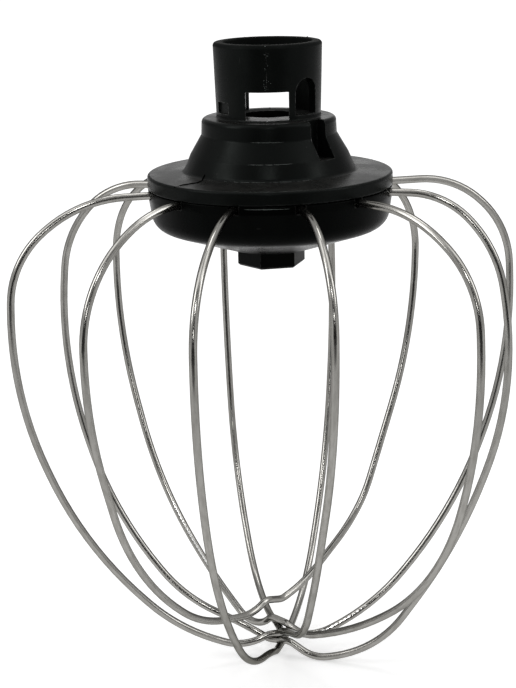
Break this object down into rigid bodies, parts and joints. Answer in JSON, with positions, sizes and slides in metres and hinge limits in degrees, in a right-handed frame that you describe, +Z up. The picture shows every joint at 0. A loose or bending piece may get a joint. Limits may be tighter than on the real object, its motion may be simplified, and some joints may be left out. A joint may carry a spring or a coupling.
{
  "type": "stand mixer wire whisk",
  "caption": "Wire whisk for a planetary stand mixer: a cage of crossing steel wire loops, clamped under a black moulded hub with a drive socket.",
  "frame": {"origin": "on the axis, at the mouth of the drive socket", "axes": "+Z up along the axis, out of the socket's mouth; -Y towards the front window"},
  "size_m": [0.134, 0.1266, 0.1721],
  "materials": {
    "hub_plastic": "moulded, satin",
    "cap_plastic": "moulded, satin",
    "screw_plastic": "moulded, satin",
    "wire_steel": "bright drawn"
  },
  "bodies": {
    "root": {"upper_hub": "hub_plastic", "lower_cap": "cap_plastic", "clamp_screw": "screw_plastic", "wire_loop_1": "wire_steel", "wire_loop_2": "wire_steel", "wire_loop_3": "wire_steel", "wire_loop_4": "wire_steel", "wire_loop_5": "wire_steel", "wire_loop_6": "wire_steel"}
  },
  "joints": []
}
